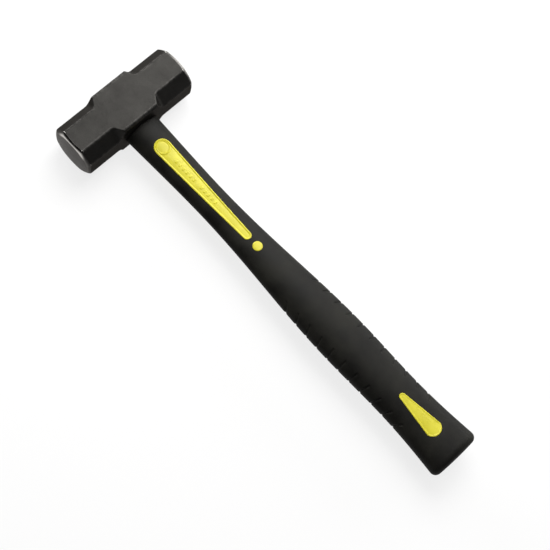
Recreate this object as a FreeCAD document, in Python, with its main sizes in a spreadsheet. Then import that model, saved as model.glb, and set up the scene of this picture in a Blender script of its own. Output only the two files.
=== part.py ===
import FreeCAD, Part
import math
import os
import Sketcher

# Short double-face sledgehammer, in millimetres, lying on one cheek of its head.
# +X runs along the handle from the head towards the butt, Y is the striking axis and +Z is up.
# The origin is on the underside of the cheek, straight below the middle of the eye.

DIMENSIONS = [
    ("head_height", 42.0, "head, along the handle"),
    ("head_width", 41.0, "head, from cheek to cheek"),
    ("head_length", 116.2, "head, from one striking face to the other"),
    ("chamfer_along", 9.6, "leg of an arm's corner chamfer, along the handle"),
    ("chamfer_across", 11.3, "leg of an arm's corner chamfer, across the cheek"),
    ("runout_start", 25.5, "from the eye's middle to where a chamfer starts to run out"),
    ("runout_slope", 50.0, "steepest slope of a run-out, in degrees"),
    ("runout_concave", 5.5, "radius at the foot of a run-out"),
    ("runout_convex", 3.4, "radius at the crest of a run-out"),
    ("runout_over", 0.4, "height by which the crest passes the corner"),
    ("face_radius", 19.2, "flat of the striking face"),
    ("forging_fillet", 1.2, "radius of the forging's edges"),
    ("eye_mouth_long", 29.0, "eye at the top and the bottom of the head, long axis"),
    ("eye_mouth_short", 16.4, "eye at the top and the bottom of the head, short axis"),
    ("eye_waist_long", 26.6, "eye at mid height, long axis"),
    ("eye_waist_short", 14.4, "eye at mid height, short axis"),
    ("rod_long", 22.5, "fibreglass rod, long axis"),
    ("rod_short", 10.0, "fibreglass rod, short axis"),
    ("rod_end", 374.0, "from the eye's middle to the rod's hidden end"),
    ("rod_below_top", 0.5, "rod end below the top of the head"),
    ("resin_below_top", 1.2, "potting resin below the top of the head"),
    ("dam_thickness", 4.0, "seal at the foot of the eye"),
    ("butt_end", 392.5, "from the eye's middle to the end of the butt"),
    ("butt_fillet", 5.0, "radius round the end of the butt"),
    ("butt_wall", 3.5, "overmould over the end of the jacket"),
    ("sleeve_wall", 1.7, "thickness of the overmould"),
    ("inlay_proud", 0.4, "height of an inlay's rim above the overmould"),
    ("inlay_sunk", 0.35, "depth of an inlay's panel below the overmould"),
    ("inlay_rim", 1.7, "width of an inlay's rim"),
    ("notch_depth", 0.8, "depth of a grip notch"),
    ("notch_width", 1.8, "width of a grip notch"),
    ("notch_reach", 9.0, "length of a grip notch in from the edge of the grip"),
    ("notch_first", 215.5, "place of the notch nearest the head"),
    ("notch_pitch", 12.4, "spacing of the notches"),
    ("notch_fan", 45.0, "lean of the outermost notches, in degrees"),
    ("grip_edge", 20.3, "half width of the grip where the notches are"),
    ("long_inlay_start", 47.1, "middle of the long inlay's large end"),
    ("long_inlay_end", 148.5, "middle of the long inlay's small end"),
    ("long_inlay_large", 7.5, "radius of the large end"),
    ("long_inlay_small", 3.7, "radius of the small end"),
    ("long_inlay_eye", 5.1, "radius of the round recess in the large end"),
    ("dot_inlay_place", 160.9, "middle of the round inlay"),
    ("dot_inlay_radius", 4.2, "radius of the round inlay"),
    ("butt_inlay_start", 328.1, "middle of the butt inlay's narrow end"),
    ("butt_inlay_end", 362.5, "middle of the corner rounds at the wide end"),
    ("butt_inlay_narrow", 2.8, "radius of the narrow end"),
    ("butt_inlay_corner", 1.2, "radius of the wide end's corners"),
    ("butt_inlay_spread", 6.1, "distance of the corner rounds from the middle"),
    ("butt_inlay_bow", 7.6, "radius of the arc that closes the wide end"),
    ("butt_panel_start", 329.0, "middle of the narrow end of the butt inlay's panel"),
    ("butt_panel_end", 361.0, "middle of the wide end of the panel"),
    ("butt_panel_narrow", 1.3, "radius of the panel's narrow end"),
    ("butt_panel_wide", 5.3, "radius of the panel's wide end"),
]

# Handle stations: name, place along the handle, full width and full depth of the oval there.
STATIONS = [
    ("neck", 21.0, 32.9, 18.0),
    ("throat", 55.5, 30.7, 16.0),
    ("waist", 111.5, 28.5, 14.8),
    ("shoulder", 164.5, 32.1, 16.2),
    ("swell", 214.5, 38.6, 19.8),
    ("palm", 264.5, 42.0, 22.0),
    ("heel", 329.5, 40.2, 21.6),
    ("flare", 368.0, 43.9, 22.8),
    ("butt", 392.5, 48.3, 24.0),
]

NOTCH_COUNT = 11
CLEARANCE = 1.0  # how far a cutting tool passes the surface it cuts

doc = FreeCAD.newDocument("sledgehammer")
sheet = doc.addObject("Spreadsheet::Sheet", "dims")


def fill_sheet():
    rows = list(DIMENSIONS)
    for name, place, width, depth in STATIONS:
        rows.append(("place_" + name, place, "station along the handle"))
        rows.append(("width_" + name, width, "handle width at the station"))
        rows.append(("depth_" + name, depth, "handle depth at the station"))
    for number, (alias, value, note) in enumerate(rows, start=1):
        sheet.set("A%d" % number, alias)
        sheet.set("B%d" % number, str(value))
        sheet.set("C%d" % number, note)
        sheet.setAlias("B%d" % number, alias)
    doc.recompute()


def dim(alias):
    return float(sheet.get(alias))


def add(kind, name):
    feature = doc.addObject(kind, name)
    feature.Label = name
    return feature


def on_axis(feature):
    """Lifts a feature drawn about the handle's axis to the height of that axis."""
    feature.setExpression("Placement.Base.z", "dims.head_width / 2")
    return feature


def origin_part(body, role):
    for part in body.Origin.OriginFeatures:
        if part.Role == role:
            return part
    raise ValueError("the body has no " + role)


def draw_line(sketch, start, end):
    return sketch.addGeometry(Part.LineSegment(FreeCAD.Vector(*start, 0), FreeCAD.Vector(*end, 0)), False)


def draw_arc(sketch, centre, radius, first, last):
    """An arc drawn anticlockwise from the angle first to the angle last, both in degrees."""
    circle = Part.Circle(FreeCAD.Vector(*centre, 0), FreeCAD.Vector(0, 0, 1), radius)
    return sketch.addGeometry(Part.ArcOfCircle(circle, math.radians(first), math.radians(last)), False)


def bind(sketch, constraint, name, expression):
    """Adds a dimension to a sketch and ties it to the sheet."""
    number = sketch.addConstraint(constraint)
    sketch.renameConstraint(number, name)
    sketch.setExpression("Constraints." + name, expression)


def join_ends(sketch, first, first_end, second, second_end):
    sketch.addConstraint(Sketcher.Constraint("Coincident", first, first_end, second, second_end))


def blend_ends(sketch, first, first_end, second, second_end):
    sketch.addConstraint(Sketcher.Constraint("Tangent", first, first_end, second, second_end))


def close_chain(sketch, edges):
    for here, after in zip(edges, edges[1:] + edges[:1]):
        join_ends(sketch, here, 2, after, 1)


def new_sketch(body, name, role):
    sketch = body.newObject("Sketcher::SketchObject", name)
    sketch.AttachmentSupport = [(origin_part(body, role), "")]
    sketch.MapMode = "FlatFace"
    return sketch


def pad_head_blank(body):
    """The bar the head is forged from: a rectangle, as long as the head."""
    sketch = new_sketch(body, "head_blank_outline", "XZ_Plane")
    x = dim("head_height") / 2
    z = dim("head_width") / 2
    corners = [(-x, -z), (x, -z), (x, z), (-x, z)]
    sides = [draw_line(sketch, corners[i], corners[(i + 1) % 4]) for i in range(4)]
    close_chain(sketch, sides)
    for side, direction in zip(sides, ("Horizontal", "Vertical") * 2):
        sketch.addConstraint(Sketcher.Constraint(direction, side))
    sketch.addConstraint(Sketcher.Constraint("Symmetric", sides[0], 1, sides[1], 2, -1, 1))
    height = Sketcher.Constraint("DistanceX", sides[0], 1, sides[0], 2, 2 * x)
    width = Sketcher.Constraint("DistanceY", sides[1], 1, sides[1], 2, 2 * z)
    bind(sketch, height, "along", "dims.head_height")
    bind(sketch, width, "across", "dims.head_width")
    pad = body.newObject("PartDesign::Pad", "head_blank")
    pad.Profile = sketch
    pad.SideType = "Symmetric"
    pad.setExpression("Length", "dims.head_length")
    return pad


def draw_runout(sketch):
    """Outline, along the head and square to the chamfer, of what is cut off one corner of one arm.

    The chamfer's floor runs in from the striking face, bends up through a concave arc, climbs
    a short slope and rolls over a convex arc just clear of the corner, at the cheek.
    """
    along = dim("chamfer_along")
    across = dim("chamfer_across")
    leg = math.hypot(along, across)
    corner = (dim("head_height") * across + dim("head_width") * along) / 2 / leg
    floor = corner - along * across / leg
    crest = corner + dim("runout_over")
    slope = math.radians(dim("runout_slope"))
    foot = dim("runout_concave")
    top = dim("runout_convex")
    start = dim("runout_start")
    far = dim("head_length") / 2 + CLEARANCE
    rise = crest - floor - (foot + top) * (1 - math.cos(slope))
    foot_end = (start - foot * math.sin(slope), floor + foot * (1 - math.cos(slope)))
    slope_end = (foot_end[0] - rise / math.tan(slope), foot_end[1] + rise)
    crest_end = (slope_end[0] - top * math.sin(slope), crest)
    arm = draw_line(sketch, (far, floor), (start, floor))
    concave = draw_arc(sketch, (start, floor + foot), foot, 270 - math.degrees(slope), 270)
    ramp = draw_line(sketch, foot_end, slope_end)
    convex = draw_arc(sketch, (crest_end[0], crest - top), top, 90 - math.degrees(slope), 90)
    back = draw_line(sketch, crest_end, (crest_end[0], crest + CLEARANCE))
    roof = draw_line(sketch, (crest_end[0], crest + CLEARANCE), (far, crest + CLEARANCE))
    end = draw_line(sketch, (far, crest + CLEARANCE), (far, floor))
    blend_ends(sketch, arm, 2, concave, 2)
    blend_ends(sketch, concave, 1, ramp, 1)
    blend_ends(sketch, ramp, 2, convex, 1)
    join_ends(sketch, convex, 2, back, 1)
    join_ends(sketch, back, 2, roof, 1)
    join_ends(sketch, roof, 2, end, 1)
    join_ends(sketch, end, 2, arm, 1)
    sketch.addConstraint(Sketcher.Constraint("Horizontal", arm))
    sketch.addConstraint(Sketcher.Constraint("Vertical", back))
    sketch.addConstraint(Sketcher.Constraint("Horizontal", roof))
    sketch.addConstraint(Sketcher.Constraint("Vertical", end))
    sketch.addConstraint(Sketcher.Constraint("Vertical", convex, 2, convex, 3))
    leg_text = "sqrt(dims.chamfer_along ^ 2 + dims.chamfer_across ^ 2)"
    height_text = "dims.head_height * dims.chamfer_across"
    width_text = "dims.head_width * dims.chamfer_along"
    corner_text = "(%s + %s) / 2 / %s" % (height_text, width_text, leg_text)
    floor_text = "%s - dims.chamfer_along * dims.chamfer_across / %s" % (corner_text, leg_text)
    crest_text = corner_text + " + dims.runout_over"
    far_text = "dims.head_length / 2 + %g" % CLEARANCE
    bind(sketch, Sketcher.Constraint("DistanceY", -1, 1, arm, 2, floor), "floor", floor_text)
    bind(sketch, Sketcher.Constraint("DistanceX", -1, 1, arm, 2, start), "start", "dims.runout_start")
    bind(sketch, Sketcher.Constraint("Radius", concave, foot), "foot", "dims.runout_concave")
    bind(sketch, Sketcher.Constraint("Radius", convex, top), "top", "dims.runout_convex")
    bind(sketch, Sketcher.Constraint("DistanceY", -1, 1, convex, 2, crest), "crest", crest_text)
    bind(sketch, Sketcher.Constraint("Angle", ramp, 1, -1, 2, slope), "slope", "dims.runout_slope * 1 deg")
    bind(sketch, Sketcher.Constraint("DistanceX", -1, 1, end, 1, far), "far", far_text)
    bind(sketch, Sketcher.Constraint("DistanceY", back, 1, back, 2, CLEARANCE), "roof", "%g" % CLEARANCE)


def cut_runouts(body):
    """Cuts one corner of one arm down to its chamfer, then mirrors the cut to all eight."""
    sketch = new_sketch(body, "runout_outline", "YZ_Plane")
    turn = FreeCAD.Rotation(FreeCAD.Vector(1, 0, 0), 45)
    sketch.AttachmentOffset = FreeCAD.Placement(FreeCAD.Vector(), turn)
    turn_text = "atan2(dims.chamfer_across; dims.chamfer_along)"
    sketch.setExpression("AttachmentOffset.Rotation.Angle", turn_text)
    draw_runout(sketch)
    pocket = body.newObject("PartDesign::Pocket", "runout")
    pocket.Profile = sketch
    pocket.Type = "ThroughAll"
    pocket.SideType = "Symmetric"
    mirrors = []
    for role in ("XY_Plane", "YZ_Plane", "XZ_Plane"):
        mirror = body.newObject("PartDesign::Mirrored", "mirror_" + role)
        mirror.MirrorPlane = (origin_part(body, role), [""])
        mirrors.append(mirror)
    runouts = body.newObject("PartDesign::MultiTransform", "runouts")
    runouts.Originals = [pocket]
    runouts.Transformations = mirrors
    body.Tip = runouts


def round_forging(body):
    """Rounds every edge of the forging but those of its two ends."""
    runouts = body.Tip
    face = dim("head_length") / 2
    names = []
    for number, edge in enumerate(runouts.Shape.Edges, start=1):
        nearest = min(abs(vertex.Y) for vertex in edge.Vertexes)
        if nearest < face - CLEARANCE:
            names.append("Edge%d" % number)
    fillet = body.newObject("PartDesign::Fillet", "forging_edges")
    fillet.Base = (runouts, names)
    fillet.setExpression("Radius", "dims.forging_fillet")
    body.Tip = fillet


def draw_bevel(sketch, end):
    """What the grinder takes off round one striking face; end is 1 or -1."""
    radius = dim("face_radius")
    face = dim("head_length") / 2
    reach = dim("head_height") / 2 + 3 * CLEARANCE - radius
    points = [(radius, face), (radius + reach, face - reach), (radius + reach, face + CLEARANCE)]
    points.append((radius, face + CLEARANCE))
    points = [(x, end * y) for x, y in points]
    sides = [draw_line(sketch, points[i], points[(i + 1) % 4]) for i in range(4)]
    close_chain(sketch, sides)
    cone, rim, cap, wall = sides
    sketch.addConstraint(Sketcher.Constraint("Vertical", rim))
    sketch.addConstraint(Sketcher.Constraint("Horizontal", cap))
    sketch.addConstraint(Sketcher.Constraint("Vertical", wall))
    side = "front" if end > 0 else "back"
    face_x = Sketcher.Constraint("DistanceX", -1, 1, cone, 1, radius)
    rim_x = Sketcher.Constraint("DistanceX", -1, 1, cone, 2, radius + reach)
    face_y = Sketcher.Constraint("DistanceY", -1, 1, cone, 1, end * face)
    rim_y = Sketcher.Constraint("DistanceY", -1, 1, cone, 2, end * (face - reach))
    cap_y = Sketcher.Constraint("DistanceY", -1, 1, cap, 1, end * (face + CLEARANCE))
    rim_text = "dims.head_height / 2 + %g" % (3 * CLEARANCE)
    reach_text = "(dims.head_length / 2 - (%s - dims.face_radius))" % rim_text
    bind(sketch, face_x, side + "_radius", "dims.face_radius")
    bind(sketch, rim_x, side + "_rim", rim_text)
    bind(sketch, face_y, side + "_face", "%d * dims.head_length / 2" % end)
    bind(sketch, rim_y, side + "_depth", "%d * %s" % (end, reach_text))
    bind(sketch, cap_y, side + "_cap", "%d * (dims.head_length / 2 + %g)" % (end, CLEARANCE))


def grind_faces(body):
    """Bevels both striking faces with a cone about the striking axis."""
    sketch = new_sketch(body, "bevel_outline", "XY_Plane")
    draw_bevel(sketch, 1)
    draw_bevel(sketch, -1)
    groove = body.newObject("PartDesign::Groove", "face_bevels")
    groove.Profile = sketch
    groove.ReferenceAxis = (origin_part(body, "Y_Axis"), [""])
    groove.Angle = 360
    body.Tip = groove


def make_forging():
    """The head before its eye is punched."""
    body = on_axis(add("PartDesign::Body", "head_forging"))
    pad_head_blank(body)
    doc.recompute()
    blank = body.Shape.Volume
    cut_runouts(body)
    doc.recompute()
    chamfered = body.Shape.Volume
    round_forging(body)
    doc.recompute()
    rounded = body.Shape.Volume
    grind_faces(body)
    doc.recompute()
    if not body.Shape.Volume < rounded < chamfered < blank:
        raise ValueError("a cut in the head removed nothing")
    return body


def oval(name, place, long_axis, short_axis):
    """An oval across the handle: place, long and short axes are expressions."""
    ring = add("Part::Ellipse", name)
    ring.Placement.Rotation = FreeCAD.Rotation(FreeCAD.Vector(1, 1, 1), 120)
    ring.setExpression("MajorRadius", "(%s) / 2" % long_axis)
    ring.setExpression("MinorRadius", "(%s) / 2" % short_axis)
    ring.setExpression("Placement.Base.x", place)
    return on_axis(ring)


def loft(name, rings, ruled):
    body = add("Part::Loft", name)
    body.Sections = rings
    body.Solid = True
    body.Ruled = ruled
    return body


def handle_form(name, inset, end_inset):
    """The handle's outer form, made smaller all round by inset and shorter by end_inset."""
    rings = []
    for station, place, width, depth in STATIONS:
        place_text = "dims.place_" + station
        if station == STATIONS[-1][0]:
            place_text = "dims.butt_end - (%s)" % end_inset
        width_text = "dims.width_%s - 2 * (%s)" % (station, inset)
        depth_text = "dims.depth_%s - 2 * (%s)" % (station, inset)
        rings.append(oval("%s_%s" % (name, station), place_text, width_text, depth_text))
    return loft(name, rings, False)


def boolean(kind, name, base, tool):
    feature = add(kind, name)
    feature.Base = base
    feature.Tool = tool
    return feature


def join(name, features):
    feature = add("Part::MultiFuse", name)
    feature.Shapes = features
    return feature


def box_between(name, low, high):
    """A box round the handle's axis, from the place low to the place high, both expressions."""
    block = add("Part::Box", name)
    block.setExpression("Length", "(%s) - (%s)" % (high, low))
    block.setExpression("Width", "dims.head_width")
    block.setExpression("Height", "dims.head_width")
    block.setExpression("Placement.Base.x", low)
    block.setExpression("Placement.Base.y", "-dims.head_width / 2")
    return block


def make_eye():
    """The eye's hollow: an oval hourglass through the head, along the handle."""
    rings = []
    for name, place, axes in (("top", "-dims.head_height / 2", "mouth"), ("waist", "0", "waist"),
                              ("foot", "dims.head_height / 2", "mouth")):
        rings.append(oval("eye_" + name, place, "dims.eye_%s_long" % axes, "dims.eye_%s_short" % axes))
    return loft("eye_hollow", rings, True)


def make_rod():
    """The pultruded rod, from the top of the head to near the butt."""
    start = "dims.rod_below_top - dims.head_height / 2"
    rings = [oval("rod_top", start, "dims.rod_long", "dims.rod_short"),
             oval("rod_foot", "dims.rod_end", "dims.rod_long", "dims.rod_short")]
    return loft("core_rod", rings, True)


def make_potting(eye, rod):
    """The resin that holds the rod in the eye, and the seal that holds the resin in."""
    seam = "dims.head_height / 2 - dims.dam_thickness"
    top = "dims.resin_below_top - dims.head_height / 2"
    resin_room = box_between("resin_room", top, seam)
    dam_room = box_between("dam_room", seam, "dims.head_height / 2")
    for name, room in (("eye_resin", resin_room), ("eye_dam", dam_room)):
        plug = boolean("Part::Common", name + "_plug", eye, room)
        boolean("Part::Cut", name, plug, rod)


def end_of(sketch, edge, which):
    point = sketch.getPoint(edge, which)
    return (point.x, point.y)


def close_tangents(sketch, first, second):
    """Joins two arcs, the first left of the second, by two lines tangent to both."""
    upper = draw_line(sketch, end_of(sketch, second, 2), end_of(sketch, first, 1))
    lower = draw_line(sketch, end_of(sketch, first, 2), end_of(sketch, second, 1))
    blend_ends(sketch, second, 2, upper, 1)
    blend_ends(sketch, upper, 2, first, 1)
    blend_ends(sketch, first, 2, lower, 1)
    blend_ends(sketch, lower, 2, second, 1)


def place_round(sketch, arc, place, radius, inset_text):
    """Keeps an arc's middle on the handle's axis, at a place and with a radius from the sheet."""
    middle = sketch.getPoint(arc, 3).x
    size = sketch.Geometry[arc].Radius
    sketch.addConstraint(Sketcher.Constraint("PointOnObject", arc, 3, -1))
    bind(sketch, Sketcher.Constraint("DistanceX", -1, 1, arc, 3, middle), place, "dims." + place)
    bind(sketch, Sketcher.Constraint("Radius", arc, size), radius, "dims." + radius + inset_text)


def teardrop(name, left, left_radius, right, right_radius, inset=None):
    """Outline with two round ends, given by the aliases of their places and radii."""
    sketch = on_axis(add("Sketcher::SketchObject", name))
    less = dim(inset) if inset else 0.0
    left_size = dim(left_radius) - less
    right_size = dim(right_radius) - less
    lean = math.degrees(math.acos((left_size - right_size) / (dim(right) - dim(left))))
    first = draw_arc(sketch, (dim(left), 0), left_size, lean, 360 - lean)
    second = draw_arc(sketch, (dim(right), 0), right_size, -lean, lean)
    close_tangents(sketch, first, second)
    inset_text = " - dims." + inset if inset else ""
    place_round(sketch, first, left, left_radius, inset_text)
    place_round(sketch, second, right, right_radius, inset_text)
    return sketch


def fan(name):
    """The butt inlay: a round narrow end that widens to a bowed end with rounded corners."""
    sketch = on_axis(add("Sketcher::SketchObject", name))
    start, end = dim("butt_inlay_start"), dim("butt_inlay_end")
    narrow, corner = dim("butt_inlay_narrow"), dim("butt_inlay_corner")
    spread, bow = dim("butt_inlay_spread"), dim("butt_inlay_bow")
    reach = math.hypot(end - start, spread)
    side = 90 + math.degrees(math.atan2(spread, end - start) - math.asin((narrow - corner) / reach))
    turn = math.degrees(math.asin(spread / (bow - corner)))
    middle = end - (bow - corner) * math.cos(math.radians(turn))
    tip = draw_arc(sketch, (start, 0), narrow, side, 360 - side)
    low = draw_arc(sketch, (end, -spread), corner, 360 - side, 360 - turn)
    wide = draw_arc(sketch, (middle, 0), bow, -turn, turn)
    high = draw_arc(sketch, (end, spread), corner, turn, side)
    bottom = draw_line(sketch, end_of(sketch, tip, 2), end_of(sketch, low, 1))
    upper = draw_line(sketch, end_of(sketch, high, 2), end_of(sketch, tip, 1))
    chain = (tip, bottom, low, wide, high, upper)
    for here, after in zip(chain, chain[1:] + chain[:1]):
        blend_ends(sketch, here, 2, after, 1)
    place_round(sketch, tip, "butt_inlay_start", "butt_inlay_narrow", "")
    sketch.addConstraint(Sketcher.Constraint("Symmetric", low, 3, high, 3, -1))
    bind(sketch, Sketcher.Constraint("DistanceX", -1, 1, high, 3, end), "corner_place", "dims.butt_inlay_end")
    bind(sketch, Sketcher.Constraint("DistanceY", -1, 1, high, 3, spread), "spread", "dims.butt_inlay_spread")
    bind(sketch, Sketcher.Constraint("Radius", high, corner), "corner", "dims.butt_inlay_corner")
    bind(sketch, Sketcher.Constraint("Radius", low, corner), "other_corner", "dims.butt_inlay_corner")
    bind(sketch, Sketcher.Constraint("Radius", wide, bow), "bow", "dims.butt_inlay_bow")
    return sketch


def prism(sketch):
    """An outline carried up and down through the handle."""
    block = add("Part::Extrusion", sketch.Label + "_prism")
    block.Base = sketch
    block.DirMode = "Normal"
    block.Solid = True
    block.Symmetric = True
    block.setExpression("LengthFwd", "dims.head_width")
    return block


def drum(name, place, radius):
    """A round prism up and down through the handle; place and radius are expressions."""
    cylinder = add("Part::Cylinder", name)
    cylinder.setExpression("Radius", radius)
    cylinder.setExpression("Height", "dims.head_width")
    cylinder.setExpression("Placement.Base.x", place)
    return cylinder


def make_inlays():
    """The yellow shapes that stand through the overmould, on both broad sides of the handle."""
    ends = ("long_inlay_start", "long_inlay_large", "long_inlay_end", "long_inlay_small")
    long_outline = prism(teardrop("long_inlay", *ends))
    butt_outline = prism(fan("butt_inlay"))
    dot_outline = drum("dot_inlay", "dims.dot_inlay_place", "dims.dot_inlay_radius")
    outlines = join("inlay_outlines", [long_outline, dot_outline, butt_outline])
    rim_form = handle_form("rim_form", "-dims.inlay_proud", "0")
    return boolean("Part::Common", "inlays", outlines, rim_form)


def make_panels():
    """The shallow panels inside the rims of the long and the butt inlays."""
    ends = ("long_inlay_start", "long_inlay_large", "long_inlay_end", "long_inlay_small")
    strip = prism(teardrop("long_panel", *ends, inset="inlay_rim"))
    ring = drum("long_ring", "dims.long_inlay_start", "dims.long_inlay_eye + 0.8 * dims.inlay_rim")
    eye = drum("long_eye", "dims.long_inlay_start", "dims.long_inlay_eye")
    butt_ends = ("butt_panel_start", "butt_panel_narrow", "butt_panel_end", "butt_panel_wide")
    butt_strip = prism(teardrop("butt_panel", *butt_ends))
    long_strip = boolean("Part::Cut", "long_strip", strip, ring)
    panels = join("panel_outlines", [long_strip, eye, butt_strip])
    panel_form = handle_form("panel_form", "dims.inlay_sunk", "0")
    return boolean("Part::Cut", "panels", panels, panel_form)


def make_notches():
    """The grip notches: short slots round both edges, fanned about the middle one."""
    slots = []
    middle = (NOTCH_COUNT - 1) / 2
    for number in range(NOTCH_COUNT):
        slot = add("Part::Box", "notch_%d" % (number + 1))
        lean = "(dims.notch_fan * %g * 1 deg)" % ((number - middle) / middle)
        place = "dims.notch_first + %d * dims.notch_pitch" % number
        back_x = "dims.notch_width / 2 * cos(%s) - dims.notch_reach * sin(%s)" % (lean, lean)
        back_y = "dims.notch_width / 2 * sin(%s) + dims.notch_reach * cos(%s)" % (lean, lean)
        slot.setExpression("Length", "dims.notch_width")
        slot.setExpression("Width", "dims.notch_reach + %g" % (4 * CLEARANCE))
        slot.setExpression("Height", "dims.head_width")
        slot.setExpression("Placement.Base.x", "%s - (%s)" % (place, back_x))
        slot.setExpression("Placement.Base.y", "dims.grip_edge - (%s)" % back_y)
        slot.setExpression("Placement.Rotation.Angle", lean)
        slots.append(slot)
    near = add("Part::Compound", "near_notches")
    near.Links = slots
    far = add("Part::Mirroring", "far_notches")
    far.Source = near
    far.Normal = (0, 1, 0)
    both = add("Part::Compound", "notch_slots")
    both.Links = [near, far]
    floor = handle_form("notch_floor", "dims.notch_depth", "-%g" % CLEARANCE)
    return boolean("Part::Cut", "notches", both, floor)


def round_butt(outer):
    """Rounds the edge round the end of the butt."""
    doc.recompute()
    end = dim("butt_end")
    rims = []
    for number, edge in enumerate(outer.Shape.Edges, start=1):
        if all(abs(vertex.X - end) < 0.01 for vertex in edge.Vertexes):
            rims.append((number, dim("butt_fillet"), dim("butt_fillet")))
    rounded = add("Part::Fillet", "handle_rounded")
    rounded.Base = outer
    rounded.Edges = rims
    return rounded


def make_handle(rod):
    """The yellow jacket round the rod, and the black overmould round the jacket."""
    outer = round_butt(handle_form("handle_outer", "0", "0"))
    jacket_form = handle_form("jacket_form", "dims.sleeve_wall", "dims.butt_wall")
    raised = join("jacket_raised", [jacket_form, make_inlays()])
    bored = boolean("Part::Cut", "jacket_bored", raised, rod)
    boolean("Part::Cut", "handle_jacket", bored, make_panels())
    hollow = boolean("Part::Cut", "sleeve_hollow", outer, raised)
    boolean("Part::Cut", "grip_sleeve", hollow, make_notches())


NODES = ["head", "core_rod", "handle_jacket", "grip_sleeve", "eye_resin", "eye_dam"]


def check_and_export():
    for feature in doc.Objects:
        if "Invalid" in feature.State or "Error" in feature.State:
            raise ValueError("%s: %s" % (feature.Label, feature.State))
    os.makedirs("parts", exist_ok=True)
    for name in NODES:
        shape = doc.getObjectsByLabel(name)[0].Shape
        if shape.isNull() or not shape.isValid() or not shape.Solids:
            raise ValueError(name + " has no valid solid")
        shape.exportStep("parts/%s.step" % name)
        print("%s: %d solid, %.1f cm3" % (name, len(shape.Solids), shape.Volume / 1000))


def main():
    fill_sheet()
    forging = make_forging()
    eye = make_eye()
    boolean("Part::Cut", "head", forging, eye)
    rod = make_rod()
    make_potting(eye, rod)
    make_handle(rod)
    doc.recompute()
    check_and_export()


main()
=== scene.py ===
import math

import bmesh
import bpy
import numpy as np
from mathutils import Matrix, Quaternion, Vector, noise


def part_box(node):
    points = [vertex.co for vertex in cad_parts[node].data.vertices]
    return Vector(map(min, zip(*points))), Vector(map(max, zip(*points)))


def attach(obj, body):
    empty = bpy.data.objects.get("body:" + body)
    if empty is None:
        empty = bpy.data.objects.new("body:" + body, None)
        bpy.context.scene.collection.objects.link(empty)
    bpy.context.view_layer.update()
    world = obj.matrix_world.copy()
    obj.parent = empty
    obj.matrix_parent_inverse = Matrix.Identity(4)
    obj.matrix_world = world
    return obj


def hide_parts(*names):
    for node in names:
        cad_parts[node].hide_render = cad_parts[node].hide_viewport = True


# Looks of the short sledgehammer, in metres, in the frame of the CAD model: the head stands on one
# cheek at the origin, +X runs along the handle to the butt and Y is the striking axis.

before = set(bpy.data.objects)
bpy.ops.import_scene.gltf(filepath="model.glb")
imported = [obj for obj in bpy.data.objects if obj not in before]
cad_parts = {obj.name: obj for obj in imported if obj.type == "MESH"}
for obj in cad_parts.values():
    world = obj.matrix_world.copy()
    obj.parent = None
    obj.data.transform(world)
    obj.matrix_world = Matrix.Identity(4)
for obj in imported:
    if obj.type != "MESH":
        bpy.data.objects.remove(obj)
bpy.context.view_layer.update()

MM = 0.001
HEAD_LOW, HEAD_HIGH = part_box("head")
SLEEVE_LOW, SLEEVE_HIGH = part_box("grip_sleeve")
ROD_LOW, ROD_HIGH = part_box("core_rod")
RESIN_LOW, RESIN_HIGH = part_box("eye_resin")
JACKET_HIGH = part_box("handle_jacket")[1]

AXIS_Z = (HEAD_LOW.z + HEAD_HIGH.z) / 2
HEAD_HALF_X = (HEAD_HIGH.x - HEAD_LOW.x) / 2
HEAD_HALF_Z = (HEAD_HIGH.z - HEAD_LOW.z) / 2
HEAD_HALF_Y = HEAD_HIGH.y
NECK_X = SLEEVE_LOW.x
BUTT_X = SLEEVE_HIGH.x

# The handle's oval sections: place along the handle, full width and full depth, in millimetres.
STATIONS = [
    (21.0, 32.9, 18.0),
    (55.5, 30.7, 16.0),
    (111.5, 28.5, 14.8),
    (164.5, 32.1, 16.2),
    (214.5, 38.6, 19.8),
    (264.5, 42.0, 22.0),
    (329.5, 40.2, 21.6),
    (368.0, 43.9, 22.8),
    (392.5, 48.3, 24.0),
]
SLEEVE_WALL = 1.7 * MM


# ---------------------------------------------------------------- mesh helpers

def make_object(name, verts, faces, materials, face_materials=None):
    mesh = bpy.data.meshes.new(name)
    mesh.from_pydata([tuple(v) for v in verts], [], [tuple(f) for f in faces])
    for material in materials:
        mesh.materials.append(material)
    if face_materials is not None:
        mesh.polygons.foreach_set("material_index", np.asarray(face_materials, np.int32))
    mesh.polygons.foreach_set("use_smooth", [True] * len(mesh.polygons))
    mesh.update()
    piece = bpy.data.objects.new(name, mesh)
    bpy.context.scene.collection.objects.link(piece)
    return piece


def clean(piece, merge=1e-6):
    """Merges points that fall together and turns every face outwards."""
    bm = bmesh.new()
    bm.from_mesh(piece.data)
    bmesh.ops.remove_doubles(bm, verts=bm.verts, dist=merge)
    bmesh.ops.dissolve_degenerate(bm, edges=bm.edges, dist=merge)
    bmesh.ops.recalc_face_normals(bm, faces=bm.faces)
    bm.to_mesh(piece.data)
    bm.free()


def sharpen(piece, degrees):
    """Smooth shading, but for the edges that turn by more than the given angle."""
    piece.data.set_sharp_from_angle(angle=math.radians(degrees))
    weighted = piece.modifiers.new("weighted", "WEIGHTED_NORMAL")
    weighted.keep_sharp = True
    weighted.weight = 80


def loft(rings, cap_start=False, cap_end=False):
    """Points and faces of a skin over closed rings, given as an array of rings x points x 3."""
    rings = np.asarray(rings)
    count, around = rings.shape[:2]
    verts = rings.reshape(-1, 3).tolist()
    faces = []
    for row in range(count - 1):
        base = row * around
        for column in range(around):
            after = (column + 1) % around
            faces.append((base + column, base + after,
                          base + around + after, base + around + column))
    for wanted, row in ((cap_start, 0), (cap_end, count - 1)):
        if wanted:
            verts.append(rings[row].mean(axis=0).tolist())
            base = row * around
            for column in range(around):
                faces.append((base + column, base + (column + 1) % around, len(verts) - 1))
    return verts, faces


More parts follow.
